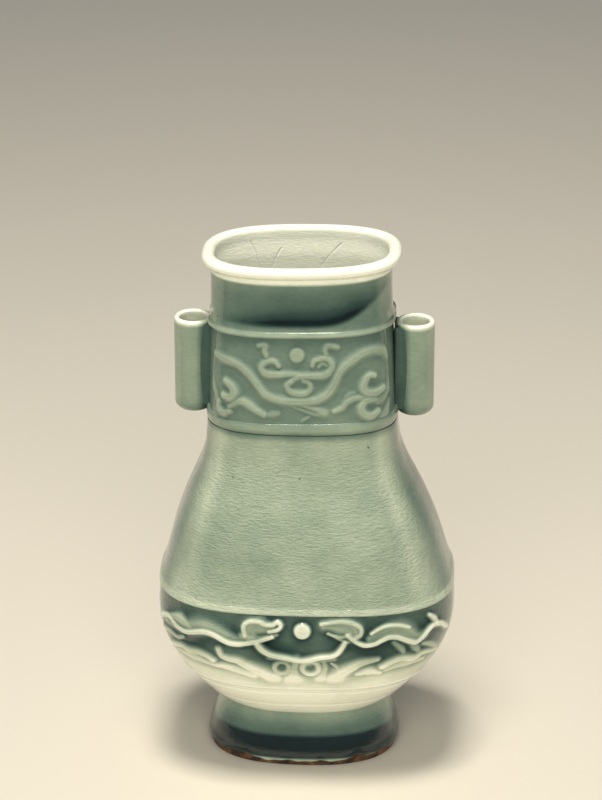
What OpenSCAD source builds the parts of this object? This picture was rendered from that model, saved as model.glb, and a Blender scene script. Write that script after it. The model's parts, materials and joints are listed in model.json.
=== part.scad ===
// Flattened celadon vase with two tubular lugs, in the pieces that a potter lutes together.
// Z is up, the foot stands on z = 0, the broad front faces -Y and the lugs stand at +X and -X.

/* [Overall widths] */
// Width of the foot at its flared edge
foot_w = 98.4; // [94:0.2:102]
// Width of the waist where the bowl meets the foot
waist_w = 84; // [80:0.5:88]
// Width of the belly at its widest
belly_w = 150.4; // [146:0.2:154]
// Width of the neck between the two lug joints
neck_w = 94.4; // [92:0.2:96]
// Width of the rolled mouth rim
rim_w = 96.8; // [95:0.2:97.2]

/* [Heights] */
// Height of the foot ring
foot_h = 28; // [26:0.5:30]
// Height of the ridge over the belly band
belly_ridge_z = 95; // [92:0.5:98]
// Height where the shoulder meets the neck
neck_z = 185; // [182:0.5:187]
// Height of the ridge over the neck panels
collar_z = 235.6; // [234.4:0.2:238]
// Height where the rolled rim starts
lip_z = 266; // [265:0.2:267]
// Height of the whole vase
height = 272; // [271:0.2:273]

/* [Section] */
// Depth over width at the foot
foot_ratio = 0.73; // [0.7:0.01:0.76]
// Depth over width at the belly
belly_ratio = 0.715; // [0.69:0.005:0.74]
// Depth over width at the foot of the neck
neck_ratio = 0.71; // [0.69:0.005:0.74]
// Depth over width of the wall under the mouth rim
mouth_ratio = 0.655; // [0.63:0.005:0.68]

/* [Lugs] */
// Outer radius of a tubular lug
lug_r = 9.6; // [9.2:0.1:10.2]
// Radius of the hole through a lug
lug_bore_r = 6.8; // [6:0.1:6.8]
// Distance of a lug's axis from the middle of the vase
lug_x = 55.1; // [55:0.1:56]
// Rounding of the outer edges of a lug
lug_round = 1.2; // [0.8:0.1:1.3]

/* [Relief] */
// Thickness of a moulded panel
panel_t = 1.2; // [0.8:0.1:1.6]
// Height that a scroll stands over its panel
scroll_h = 1.3; // [0.8:0.1:1.8]
// Width of a scroll strip
scroll_w = 3.2; // [2.4:0.1:3.6]

/* [Hidden] */

seg = 80;
glaze = [0.62, 0.71, 0.58];
pale_glaze = [0.86, 0.87, 0.76];

// Outer half width: rows of height, half width and slope, joined by cubic curves.
foot_line = [[0, foot_w / 2 - 1, 0.35], [5, foot_w / 2, 0], [14, foot_w / 2 - 2, -0.32],
             [foot_h, waist_w / 2, -0.3]];
bowl_line = [[foot_h, waist_w / 2, 1.5], [40, belly_w / 2 - 19.6, 0.92], [54, belly_w / 2 - 9, 0.62],
             [68, belly_w / 2 - 2.4, 0.33], [82, belly_w / 2, 0.02], [belly_ridge_z, belly_w / 2 - 1, -0.12]];
shoulder_line = [[belly_ridge_z, belly_w / 2, -0.42], [110, belly_w / 2 - 5, -0.28],
                 [128, belly_w / 2 - 10.4, -0.36], [146, neck_w / 2 + 10.3, -0.45],
                 [160, neck_w / 2 + 4.3, -0.34], [172, neck_w / 2 + 1.3, -0.1],
                 [neck_z, neck_w / 2 + 0.4, 0]];
neck_line = [[neck_z, neck_w / 2, 0], [collar_z, neck_w / 2 - 1.4, -0.03]];
mouth_line = [[collar_z, neck_w / 2 - 0.6, -0.5], [collar_z + 7, neck_w / 2 - 2.2, -0.05],
              [lip_z, neck_w / 2 - 2.2, 0.05]];

// Wall thickness, measured level.
wall_line = [[foot_h, 8.5, 0], [54, 7, -0.08], [82, 6, 0], [neck_z, 5.4, -0.01], [lip_z, 3.2, 0]];
// Half width inside the foot ring.
foot_inside = [[0, foot_w / 2 - 8, -0.2], [14, foot_w / 2 - 11.5, -0.3], [foot_h, waist_w / 2 - 8.5, -0.1]];
recess_z = 13;
floor_z = 21;
// Height of the belly band's lower edge, and the rows of the wall across it.
band_z = 52;
band_steps = 5;

// Depth over width, and how square the section is: 2 is an ellipse, and more is squarer.
ratio_line = [[0, foot_ratio, 0], [foot_h, belly_ratio, 0], [130, belly_ratio, 0],
              [neck_z, neck_ratio, -0.0004], [lip_z, mouth_ratio, 0]];
square_line = [[0, 2.5, 0], [foot_h, 2.5, 0], [belly_ridge_z, 2.9, 0], [neck_z, 3, 0], [lip_z, 2.6, 0]];

function cubic(p, q, z) =
    let (h = q[0] - p[0], t = (z - p[0]) / h)
    (2 * t ^ 3 - 3 * t ^ 2 + 1) * p[1] + (t ^ 3 - 2 * t ^ 2 + t) * h * p[2]
    + (3 * t ^ 2 - 2 * t ^ 3) * q[1] + (t ^ 3 - t ^ 2) * h * q[2];
function along(line, z, i = 0) =
    let (kept = min(max(z, line[0][0]), line[len(line) - 1][0]))
    i >= len(line) - 2 || z <= line[i + 1][0] ? cubic(line[i], line[i + 1], kept) : along(line, z, i + 1);
function steps(a, b, n) = [for (i = [0 : n]) a + (b - a) * i / n];

// One level section, given its half width, half depth, squareness and height.
function polar(a, b, n, f) = (abs(cos(f) / a) ^ n + abs(sin(f) / b) ^ n) ^ (-1 / n);
function arc_of(a, b, n, z, from, to, count) =
    [for (f = steps(from, to, count)) polar(a, b, n, f) * [cos(f), sin(f), 0] + [0, 0, z]];
function ring(a, b, n, z) = arc_of(a, b, n, z, 0, 360 - 360 / seg, seg - 1);
function outer_ring(line, z, proud = 0) =
    let (a = along(line, z), b = a * along(ratio_line, z))
    ring(a + proud, b + proud, along(square_line, z), z);
function inner_ring(line, z) = outer_ring(line, z, -along(wall_line, z));

// Rings joined in a closed loop, as in a tube bent around the vase.
module loop(rings) {
    k = len(rings);
    n = len(rings[0]);
    polyhedron(
        points = [for (r = rings) each r],
        faces = [for (j = [0 : k - 1]) for (i = [0 : n - 1])
                 let (u = (j + 1) % k, v = (i + 1) % n)
                 each [[j * n + i, u * n + v, j * n + v], [j * n + i, u * n + i, u * n + v]]],
        convexity = 6);
}

// The same with open rows and a flat cap at each end.
module strip(rows) {
    k = len(rows);
    n = len(rows[0]);
    polyhedron(
        points = [for (r = rows) each r],
        faces = concat(
            [for (j = [0 : k - 1]) for (i = [0 : n - 2])
             let (u = (j + 1) % k)
             each [[j * n + i, u * n + i + 1, j * n + i + 1], [j * n + i, u * n + i, u * n + i + 1]]],
            [[for (j = [k - 1 : -1 : 0]) j * n]],
            [[for (j = [0 : k - 1]) j * n + n - 1]]),
        convexity = 6);
}

// A wall between two heights, as thick as wall_line says.
module wall(line, z0, z1, outer_steps, inner_steps, proud = 0) {
    loop(concat([for (z = steps(z0, z1, outer_steps)) outer_ring(line, z, proud)],
                [for (z = steps(z1, z0, inner_steps)) inner_ring(line, z)]));
}

// A raised moulding with a round face that sits on the wall from z0 to z1, let into it by bed.
module moulding(line, z0, z1, proud, bed = 0) {
    middle = (z0 + z1) / 2;
    half = (z1 - z0) / 2;
    loop(concat([for (g = [-90 : 36 : 90]) outer_ring(line, middle + half * sin(g), proud * cos(g))],
                bed > 0 ? [outer_ring(line, z1, -bed), outer_ring(line, z0, -bed)] : []));
}

module foot_ring() {
    color(glaze)
        loop(concat([for (z = [0, 2.5, 5, 10, 15, 21, foot_h]) outer_ring(foot_line, z)],
                    [for (z = [foot_h, floor_z, recess_z, 0]) outer_ring(foot_inside, z)]));
}

module base_disc() {
    low = outer_ring(foot_inside, recess_z);
    high = outer_ring(foot_inside, floor_z);
    color(glaze)
        polyhedron(
            points = concat(low, high),
            faces = concat([for (i = [0 : seg - 1])
                            let (v = (i + 1) % seg)
                            each [[i, seg + v, v], [i, seg + i, seg + v]]],
                           [[for (i = [0 : seg - 1]) i]],
                           [[for (i = [seg - 1 : -1 : 0]) seg + i]]),
            convexity = 2);
}

module lower_body() {
    color(glaze)
        loop(concat([for (z = steps(foot_h, band_z, 4)) outer_ring(bowl_line, z)],
                    [for (z = steps(band_z, belly_ridge_z, band_steps)) outer_ring(bowl_line, z, -panel_t)],
                    [for (z = steps(belly_ridge_z, foot_h, 5)) inner_ring(bowl_line, z)]));
}

module upper_body() {
    color(glaze) wall(shoulder_line, belly_ridge_z, neck_z, 9, 4);
}

module neck_collar() {
    color(glaze) wall(neck_line, neck_z, collar_z, 1, 1, -panel_t);
}

module mouth_collar() {
    color(glaze) wall(mouth_line, collar_z, lip_z, 6, 1);
}

// The rolled rim: a round bead around the mouth, flat where it sits on the wall.
module mouth_rim() {
    wall_a = along(mouth_line, lip_z);
    inside = wall_a - along(wall_line, lip_z);
    middle = (rim_w / 2 + inside) / 2;
    reach = rim_w / 2 - middle;
    rise = (height - lip_z) / 2;
    depth = wall_a - wall_a * mouth_ratio;
    square = along(square_line, lip_z);
    color(pale_glaze)
        loop([for (g = [-60 : 30 : 240])
              let (a = middle + reach * cos(g), z = lip_z + rise + rise * sin(g))
              ring(a, a - depth, square, max(z, lip_z))]);
}

module lip_bead() {
    color(pale_glaze) moulding(mouth_line, lip_z - 3.4, lip_z - 0.2, 1.1);
}

// Cuts the places of both lugs out of a moulding that would run through them.
module clear_of_lugs() {
    difference() {
        children();
        for (side = [-1, 1])
            translate([side * lug_x, 0, neck_z - 20]) cylinder(r = lug_r + 0.02, h = 90, $fn = 64);
    }
}

module neck_ridge_upper() {
    color(pale_glaze) clear_of_lugs() moulding(mouth_line, collar_z + 0.1, collar_z + 3.2, 0.9);
}

module neck_ridge_lower() {
    color(glaze) clear_of_lugs() moulding(neck_line, neck_z + 0.3, neck_z + 6.3, 1, panel_t);
}

module belly_ridge() {
    color(pale_glaze) moulding(shoulder_line, belly_ridge_z + 0.1, belly_ridge_z + 3.5, 0.6);
}

module bowl_ridge() {
    color(pale_glaze) moulding(bowl_line, band_z - 2.8, band_z - 0.2, 0.7);
}

// Lugs: open tubes with rounded edges, cut to sit on the neck.
lug_low = neck_z + 0.2;
lug_high = collar_z - 1.2;
function quarter(x, z, from) =
    [for (g = [0 : 18 : 90]) [x + lug_round * cos(from + g), z + lug_round * sin(from + g)]];
module lug(side) {
    r = lug_round;
    difference() {
        translate([side * lug_x, 0, 0])
            rotate_extrude($fn = 96)
                polygon(concat(quarter(lug_r - r, lug_low + r, -90),
                               quarter(lug_r - r, lug_high - r, 0),
                               quarter(lug_bore_r + r, lug_high - r, 90),
                               quarter(lug_bore_r + r, lug_low + r, 180)));
        loop(concat([for (z = [neck_z, collar_z]) outer_ring(neck_line, z, -panel_t)],
                    [for (z = [collar_z, neck_z]) inner_ring(neck_line, z)]));
    }
}

module left_lug() { color(pale_glaze) lug(-1); }

module right_lug() { color(pale_glaze) lug(1); }

// The slip that fills the corner between the neck and each side of a lug.
module lug_fillet(side) {
    for (face = [-1, 1])
        difference() {
            translate([side * (neck_w / 2 - panel_t - 0.3), face * 6, lug_low + 6])
                linear_extrude(lug_high - lug_low - 8)
                    polygon([[0, -face * 1.5], [side * 4.5, -face * 1.5],
                             [side * 2, face * 1.6], [0, face * 4]]);
            translate([side * lug_x, 0, neck_z]) cylinder(r = lug_r, h = collar_z - neck_z, $fn = 96);
        }
}

module left_lug_fillet() { color(glaze) lug_fillet(-1); }

module right_lug_fillet() { color(glaze) lug_fillet(1); }

// Moulded panels cover part of the front, from one turn angle to another.
// The back is the front turned half round.
module turned(face) {
    rotate(face < 0 ? 0 : 180) children();
}
function span(line, z, proud, reach) =
    let (a = along(line, z), b = a * along(ratio_line, z))
    arc_of(a + proud, b + proud, along(square_line, z), z, -90 - reach, -90 + reach,
           round(reach * seg / 180));
module panel(line, heights, reach) {
    last = len(heights) - 1;
    strip(concat([for (z = heights) span(line, z, 0, reach)],
                 [for (i = [last : -1 : 0]) span(line, heights[i], -panel_t, reach)]));
}

// Scrolls: strips that lie on the front of the vase along a path of [place x, height z].
function on_front(line, p) =
    let (a = along(line, p[1]), b = a * along(ratio_line, p[1]), n = along(square_line, p[1]))
    [p[0], -b * (1 - abs(p[0] / a) ^ n) ^ (1 / n), p[1]];
function unit(v) = v / norm(v);
function outward(line, p) =
    let (q = on_front(line, p), a = along(line, p[1]), b = a * along(ratio_line, p[1]),
         n = along(square_line, p[1]),
         lean = along(line, p[1] + 0.5) - along(line, p[1] - 0.5),
         level = unit([sign(q[0]) * abs(q[0] / a) ^ (n - 1) / a, -abs(q[1] / b) ^ (n - 1) / b, 0]))
    unit(level - [0, 0, lean]);
// A smooth path through points placed by hand, with n steps between two of them.
function curve(c, n = 2) =
    [for (i = [0 : len(c) - 2])
         let (p = c[max(i - 1, 0)], q = c[i], r = c[i + 1], s = c[min(i + 2, len(c) - 1)])
         for (k = [0 : n - 1])
             let (t = k / n)
             q + 0.5 * ((r - p) * t + (2 * p - 5 * q + 4 * r - s) * t ^ 2 + (3 * q - p - 3 * r + s) * t ^ 3),
     c[len(c) - 1]];
// A hook: a spiral about a middle, from one radius and angle to another.
function hook(middle, r0, r1, from, to, n = 9) =
    [for (i = [0 : n])
         let (g = from + (to - from) * i / n, r = r0 + (r1 - r0) * i / n)
         middle + r * [cos(g), sin(g)]];

module scroll(line, path, w, h, bed = 0.5) {
    last = len(path) - 1;
    rows = [for (i = [0 : last])
            let (here = on_front(line, path[i]), ahead = on_front(line, path[min(i + 1, last)]),
                 behind = on_front(line, path[max(i - 1, 0)]), out = outward(line, path[i]),
                 side = unit(cross(out, ahead - behind)), taper = i == 0 || i == last ? 0.5 : 1)
            [for (p = [[-0.5, -bed], [-0.34, 0.75 * h], [0, h], [0.34, 0.75 * h], [0.5, -bed]])
             here + side * p[0] * w * taper + out * (p[1] > 0 ? p[1] * taper : p[1])]];
    strip([for (j = [0 : 4]) [for (i = [0 : last]) rows[i][j]]]);
}

module scrolls(line, paths, w, h) {
    for (path = paths) scroll(line, path, w, h);
}

// The raised edges at both ends of a neck panel.
panel_end = curve([[41.5, collar_z - 1], [44, 224], [45, 214], [44.6, 205], [42.5, 198], [38.5, neck_z + 7]]);

module neck_panel(face) {
    color(glaze)
        turned(face) {
            panel(neck_line, [neck_z + 6.3, collar_z], 67.5);
            for (side = [-1, 1])
                scroll(neck_line,
                       [for (i = [0 : len(panel_end) - 1])
                        let (p = panel_end[side > 0 ? i : len(panel_end) - 1 - i])
                        [side * p[0], p[1]]],
                       scroll_w * 0.9, scroll_h * 0.8);
        }
}

module neck_panel_front() { neck_panel(-1); }

module neck_panel_back() { neck_panel(1); }

// The neck's motif: a garland, two hooks that share a curl over it, and crooked tails below.
garland = curve([[-41, 223.5], [-36.5, 222.5], [-30, 221.2], [-25, 217.3], [-21.5, 213], [-16.8, 207],
                 [-12, 204.6], [-4.4, 203.4], [6, 203.6], [14, 207.4], [17, 211.6], [19.3, 217],
                 [22.4, 221.2], [26.3, 223.8], [34, 227.3], [40.4, 225.2], [41.4, 217], [40.6, 210]]);
left_hook = curve([[-10, 221.6], [-14.6, 224.1], [-18.4, 220.4], [-15.6, 217.6], [-8, 217.3], [0, 217.2]]);
right_hook = curve([[6.5, 222], [10.8, 225], [15.9, 221.8], [13, 217.2], [3, 216.6], [-4.2, 214]]);
middle_curl = hook([-0.3, 210.9], 5, 3.6, 120, 400);
neck_paths = [garland, left_hook, right_hook, middle_curl,
              curve([[-20.4, 231.8], [-16.4, 231.6], [-16, 228]]),
              curve([[19, 230.9], [14, 231.4], [13.2, 228.6]]),
              curve([[36.4, 214.4], [32.8, 213.8], [31.2, 209], [34, 205.6], [40, 206.2]]),
              curve([[36.4, 202.2], [31.6, 201.4], [30.6, 196.4], [34.4, 193.8], [38.4, 195.4]]),
              curve([[27, 204], [23.4, 202.6], [21, 199.7], [17, 198]]),
              curve([[-37, 211.4], [-33, 209.2], [-32.6, 205.2], [-37.4, 203.4]]),
              curve([[-39.8, 200], [-40, 196.2], [-37.4, 194.4], [-34.4, 195.6]]),
              curve([[-34.4, 199], [-30.4, 201.8], [-25.6, 201.6], [-20.8, 198.2], [-16, 196]]),
              curve([[-1, 200.8], [5, 199], [12, 196.6]])];

module neck_scrolls(face) {
    color(pale_glaze) turned(face) scrolls(neck_line, neck_paths, scroll_w, scroll_h);
}

module neck_scrolls_front() { neck_scrolls(-1); }

module neck_scrolls_back() { neck_scrolls(1); }

// A pearl: a low round boss on the front and one on the back.
module pearls(line, z, r, h) {
    for (face = [-1, 1])
        turned(face)
            translate(on_front(line, [0, z]))
                rotate([90, 0, 0])
                    rotate_extrude($fn = 48)
                        polygon([[0, -0.6], [r, -0.6], [r, 0.2], [r * 0.8, h * 0.7], [r * 0.45, h],
                                 [0, h]]);
}

module neck_pearls() { color(pale_glaze) pearls(neck_line, 227.2, 3.9, scroll_h); }

module belly_panel(face) {
    color(glaze) turned(face) panel(bowl_line, steps(band_z, belly_ridge_z, band_steps), 90);
}

module belly_panel_front() { belly_panel(-1); }

module belly_panel_back() { belly_panel(1); }

// The belly's motif: two groups of winding scrolls that face a pearl, with clouds below them.
left_scrolls = [curve([[-66, 84.2], [-62.5, 81.5], [-58.5, 80.5], [-50.6, 82.9], [-43, 82.3], [-35.5, 79.3],
                       [-27.8, 80], [-21, 81.8], [-15, 84.2]]),
                 curve([[-64.5, 87], [-60.5, 87.4], [-55.4, 85]]),
                 curve([[-28.4, 84.4], [-29, 89], [-26, 92], [-21, 92], [-16.5, 89.8], [-11.4, 91.6]]),
                 curve([[-24, 86.2], [-18, 86.6], [-12, 87.4]])];
right_scrolls = [curve([[15, 86.6], [19.7, 83.8], [25.5, 82.8], [32.2, 79.7], [39.4, 82], [47, 83.2],
                        [52, 80.6], [56.4, 78.6], [62, 82.6], [66, 84.6]]),
                 curve([[35.4, 85.6], [39.6, 87.8], [45, 89.2], [52, 87.6]]),
                 curve([[9.4, 91.6], [15.5, 92.4], [20.6, 92.8], [25.5, 91.8], [29, 89.2], [29.6, 85]]),
                 curve([[20, 88.4], [24, 88], [27, 86]])];
chin = concat(curve([[-21.6, 79.6], [-15.4, 74], [-9, 72.4], [0, 71.2]]),
              curve([[9.5, 73.4], [17, 75.4], [21.6, 81]]));
clouds = [hook([-9.8, 65.6], 3.7, 3.7, 75, 405),
          hook([4.6, 66], 4, 4, 75, 405),
          curve([[-3, 71.4], [-3.4, 66], [-3.8, 60]]),
          curve([[-61, 70.4], [-52, 69.8], [-44.4, 66.8]]),
          curve([[-41.6, 73.8], [-36.4, 69.8], [-28, 66.6], [-19.4, 62], [-14.4, 59]]),
          curve([[-41, 63.2], [-37.6, 63.8], [-34, 62.8]]),
          curve([[17, 60.4], [24.4, 66.2], [31, 69.4], [38, 70.6]]),
          curve([[32.4, 62], [35.6, 62.8], [38.6, 61.8]]),
          curve([[40.4, 65.4], [45, 68.2], [50, 69.6], [55.4, 68.2], [60, 69.6]]),
          curve([[60, 76], [63.4, 74], [66, 70]]),
          curve([[11.4, 71], [12, 66], [10.6, 60.5]])];

module belly_scrolls(face) {
    color(pale_glaze)
        turned(face)
            scrolls(bowl_line, concat(left_scrolls, right_scrolls, [chin]), scroll_w + 0.6, scroll_h + 0.3);
}

module belly_scrolls_front() { belly_scrolls(-1); }

module belly_scrolls_back() { belly_scrolls(1); }

module belly_clouds(face) {
    color(pale_glaze) turned(face) scrolls(bowl_line, clouds, scroll_w + 0.4, scroll_h);
}

module belly_clouds_front() { belly_clouds(-1); }

module belly_clouds_back() { belly_clouds(1); }

module belly_pearls() { color(pale_glaze) pearls(bowl_line, 87.6, 4.4, scroll_h + 0.5); }

foot_ring();
base_disc();
lower_body();
upper_body();
neck_collar();
mouth_collar();
mouth_rim();
lip_bead();
neck_ridge_upper();
neck_ridge_lower();
belly_ridge();
bowl_ridge();
left_lug();
right_lug();
left_lug_fillet();
right_lug_fillet();
neck_panel_front();
neck_panel_back();
neck_scrolls_front();
neck_scrolls_back();
neck_pearls();
belly_panel_front();
belly_panel_back();
belly_scrolls_front();
belly_scrolls_back();
belly_clouds_front();
belly_clouds_back();
belly_pearls();
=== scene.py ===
"""A flattened green-glazed vase with two tubular lugs, on a plain pale floor.

Lengths are millimetres until a mesh is made, and metres from there on."""
import json
import math

import bpy
import numpy as np
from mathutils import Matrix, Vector

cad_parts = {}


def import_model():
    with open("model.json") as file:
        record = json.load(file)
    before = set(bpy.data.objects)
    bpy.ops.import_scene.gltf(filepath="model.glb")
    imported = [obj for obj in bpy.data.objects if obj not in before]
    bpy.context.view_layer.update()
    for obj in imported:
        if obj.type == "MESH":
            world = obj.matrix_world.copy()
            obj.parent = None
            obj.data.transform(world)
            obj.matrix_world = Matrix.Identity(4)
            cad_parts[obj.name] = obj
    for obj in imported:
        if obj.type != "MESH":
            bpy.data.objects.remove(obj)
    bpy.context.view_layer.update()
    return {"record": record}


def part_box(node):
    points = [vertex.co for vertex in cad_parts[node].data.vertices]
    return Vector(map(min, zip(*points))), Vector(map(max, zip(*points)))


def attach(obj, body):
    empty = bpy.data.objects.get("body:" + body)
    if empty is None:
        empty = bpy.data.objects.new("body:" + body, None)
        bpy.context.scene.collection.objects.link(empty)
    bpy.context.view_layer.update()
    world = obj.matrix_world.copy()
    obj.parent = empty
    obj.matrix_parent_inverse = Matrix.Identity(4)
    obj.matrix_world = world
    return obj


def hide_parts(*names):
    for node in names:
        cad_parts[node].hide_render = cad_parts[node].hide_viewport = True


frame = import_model()

MM = 0.001


def side(node, corner, axis):
    """One side of a CAD node's box: corner 0 is the lowest and 1 the highest."""
    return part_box(node)[corner]["XYZ".index(axis)] / MM


# Sizes that come from the CAD frame: _A is half a width, _R a radius and _Z a height.
FOOT_A = side("foot_ring", 1, "X")
WAIST_Z = side("foot_ring", 1, "Z")
RIDGE_Z = side("upper_body", 0, "Z")
BELLY_A = round(side("belly_panel_front", 1, "X"), 1)
BAND_Z = side("belly_panel_front", 0, "Z")
NECK_Z = side("upper_body", 1, "Z")
PANEL_Z = side("neck_panel_front", 0, "Z")
COLLAR_Z = side("neck_collar", 1, "Z")
LIP_Z = side("mouth_rim", 0, "Z")
RIM_A = side("mouth_rim", 1, "X")
TOP_Z = side("mouth_rim", 1, "Z")
RECESS_Z = side("base_disc", 0, "Z")
FLOOR_Z = side("base_disc", 1, "Z")
LUG_R = (side("right_lug", 1, "X") - side("right_lug", 0, "X")) / 2
LUG_X = (side("right_lug", 1, "X") + side("right_lug", 0, "X")) / 2
LUG_LOW, LUG_HIGH = side("right_lug", 0, "Z"), side("right_lug", 1, "Z")
LUG_BORE_R = next(m for m in frame["record"]["mounts"] if m["name"] == "right_lug_bore")["dims"]["r_mm"]

# Sizes of the CAD source that no node's box shows: the waist, the panels' thickness, the neck and the collar.
WAIST_A = 42.0
PANEL_T = 1.2
NECK_A = side("neck_collar", 1, "X") + PANEL_T
COLLAR_A = NECK_A - 2.2

# Lines over the height, as in the CAD source: rows of height, value and slope, joined by cubic curves.
# Half the width of the vase.
FOOT = [(0, FOOT_A - 1, 0.35), (5, FOOT_A, 0), (14, FOOT_A - 2, -0.32), (WAIST_Z, WAIST_A, -0.3)]
BOWL = [(WAIST_Z, WAIST_A, 1.5), (40, BELLY_A - 19.6, 0.92), (54, BELLY_A - 9, 0.62),
        (68, BELLY_A - 2.4, 0.33), (82, BELLY_A, 0.02), (RIDGE_Z, BELLY_A - 1, -0.12)]
SHOULDER = [(RIDGE_Z, BELLY_A, -0.42), (110, BELLY_A - 5, -0.28), (128, BELLY_A - 10.4, -0.36),
            (146, NECK_A + 10.3, -0.45), (160, NECK_A + 4.3, -0.34), (172, NECK_A + 1.3, -0.1),
            (NECK_Z, NECK_A + 0.4, 0)]
NECK = [(NECK_Z, NECK_A, 0), (COLLAR_Z, NECK_A - 1.4, -0.03)]
MOUTH = [(COLLAR_Z, NECK_A - 0.6, -0.5), (COLLAR_Z + 7, COLLAR_A, -0.05), (LIP_Z, COLLAR_A, 0.05)]
# Half the width of the hollow under the foot, and the thickness of the wall above it.
FOOT_INSIDE = [(0, FOOT_A - 8, -0.2), (14, FOOT_A - 11.5, -0.3), (WAIST_Z, WAIST_A - 8.5, -0.1)]
WALL = [(WAIST_Z, 8.5, 0), (54, 7, -0.08), (82, 6, 0), (NECK_Z, 5.4, -0.01), (LIP_Z, 3.2, 0)]
# The section is a superellipse: its depth as a share of its width, and its exponent.
RATIO = [(0, 0.73, 0), (WAIST_Z, 0.715, 0), (130, 0.715, 0), (NECK_Z, 0.71, -0.0004), (LIP_Z, 0.655, 0)]
SQUARE = [(0, 2.5, 0), (WAIST_Z, 2.5, 0), (RIDGE_Z, 2.9, 0), (NECK_Z, 3.0, 0), (LIP_Z, 2.6, 0)]

# The hand-built vase is not quite upright: how far it leans to the right, by height.
LEAN = [(0, 0, 0), (RIDGE_Z, 1.6, 0), (NECK_Z, -0.7, 0), (TOP_Z, -1.2, 0)]
# The neck and the mouth climb to the right by this slope, which starts between these heights.
TILT = 0.022
TILT_START, TILT_FULL = 176, 196
# Small waves in the wall: how high each is, its turn per millimetre along x, y and z, and where it starts.
WAVES = [(0.15, (1 / 23, 0, 1 / 31), 1.1), (0.13, (0, 1 / 17, -1 / 19), 0.4), (0.07, (1 / 9, 0, 1 / 13), 0)]

# How thick the glaze lies by height, with painted light and shade: 1 is thin and pale on an edge, -1 is a
# deep green pool.
# Painted shade deepens the pools low on the foot, under the belly ridge, under the neck mouldings and on the
# collar; the foot's band also holds a painted reflection.
# The underside of the bowl is pale from thin glaze and from painted light off the floor.
GLAZE_AND_PAINTED_LIGHT = [(0, 0.3, 0), (3.5, 0.2, 0), (5, -1.0, 0), (7, -1.3, 0), (14, -1.3, 0), (17.5, -0.5, 0),
         (WAIST_Z - 0.2, -0.08, 0), (WAIST_Z + 0.8, 0.95, 0), (34, 1, 0), (50, 1, 0), (57, 0.75, 0),
         (64, 0.15, 0), (72, -0.3, 0), (80, -0.42, 0), (94.6, -0.42, 0), (96.4, 0.4, 0), (101, 0.12, 0),
         (125, 0.06, 0), (168, 0.12, 0), (181, 0.12, 0), (184.8, -0.3, 0), (188, -0.1, 0), (191.5, -0.22, 0),
         (226, -0.2, 0), (235, -0.4, 0), (237.2, 0, 0), (240, -0.25, 0), (243.5, -0.3, 0), (256, -0.3, 0),
         (262, -0.2, 0), (263.5, 0.9, 0), (TOP_Z, 1, 0)]

# Points round a section, and the finer count of the collar, whose cracks are thin.
COLUMNS = 480
COLLAR_COLUMNS = 720
LUG_COLUMNS = 160
# The turn angle of the middle of the front.
FRONT = -math.pi / 2


# Lines and sections -------------------------------------------------------------------------------------

def along(line, z):
    """The value of a line at each height."""
    rows = np.array(line, float)
    z = np.clip(np.asarray(z, float), rows[0, 0], rows[-1, 0])
    i = np.clip(np.searchsorted(rows[:, 0], z) - 1, 0, len(rows) - 2)
    low, high = rows[i], rows[i + 1]
    h = high[..., 0] - low[..., 0]
    t = (z - low[..., 0]) / h
    return ((2 * t**3 - 3 * t**2 + 1) * low[..., 1] + (t**3 - 2 * t**2 + t) * h * low[..., 2]
            + (3 * t**2 - 2 * t**3) * high[..., 1] + (t**3 - t**2) * h * high[..., 2])


def ramp(value, low, high):
    """0 below low, 1 above high, and a smooth step between."""
    t = np.clip((value - low) / (high - low), 0, 1)
    return t * t * (3 - 2 * t)


def section(a, b, n, z, turn):
    """Points of a superellipse of half width a, half depth b and exponent n, at height z."""
    r = (np.abs(np.cos(turn) / a) ** n + np.abs(np.sin(turn) / b) ** n) ** (-1 / n)
    return np.stack([r * np.cos(turn), r * np.sin(turn), np.broadcast_to(z, r.shape)], -1)


def surface(line, z, turn, proud=0.0):
    """Points on the vase at heights z and turn angles, proud millimetres outside the line."""
    a = along(line, z)
    return section(a + proud, a * along(RATIO, z) + proud, along(SQUARE, z), z, turn)


def inside(line, z, turn):
    """Points on the inner face of the wall."""
    return surface(line, z, turn, -along(WALL, z))


def rows_of(low, high, step):
    """A column of heights from low to high, about step apart."""
    return np.linspace(low, high, max(2, round(abs(high - low) / step) + 1))[:, None]


def around(count=COLUMNS):
    """A row of turn angles right round the vase."""
    return np.linspace(0, 2 * math.pi, count, endpoint=False)[None, :]


def normals(points):
    """Outward normals of an outer grid whose rows climb and whose columns turn leftwards."""
    n = np.cross(np.gradient(points, axis=1), np.gradient(points, axis=0))
    return n / np.linalg.norm(n, axis=-1, keepdims=True)


def share_of_width(points):
    """How far out each point of a grid lies: 0 in the middle of a broad side, and 1 at its narrow end."""
    x = np.abs(points[..., 0])
    return x / x.max(axis=1, keepdims=True)


def facing_front(points, low, high):
    """1 on the broad front and back, fading to 0 between two shares of the half width."""
    return 1 - ramp(share_of_width(points), low, high)


def turned(points):
    """The same points after half a turn about the vase's axis."""
    return points * np.array([-1, -1, 1])


def handmade(points):
    """Moves points as the potter's hands did: small waves, a lean, and a mouth that is not level."""
    x, z = points[..., 0], points[..., 2]
    outward = points * np.array([1, 1, 0])
    outward = outward / np.linalg.norm(outward, axis=-1, keepdims=True)
    wave = sum(height * np.sin(points @ np.array(pace) + start) for height, pace, start in WAVES)
    shift = np.stack([along(LEAN, z), np.zeros_like(z), TILT * x * ramp(z, TILT_START, TILT_FULL)], -1)
    return points + outward * wave[..., None] + shift


# Meshes -------------------------------------------------------------------------------------------------

def point_values(mesh, name, values):
    """Stores one number for each point of a mesh, for its material to read."""
    attribute = mesh.attributes.new(name, "FLOAT", "POINT")
    attribute.data.foreach_set("value", values.reshape(-1).astype(np.float32))


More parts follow.
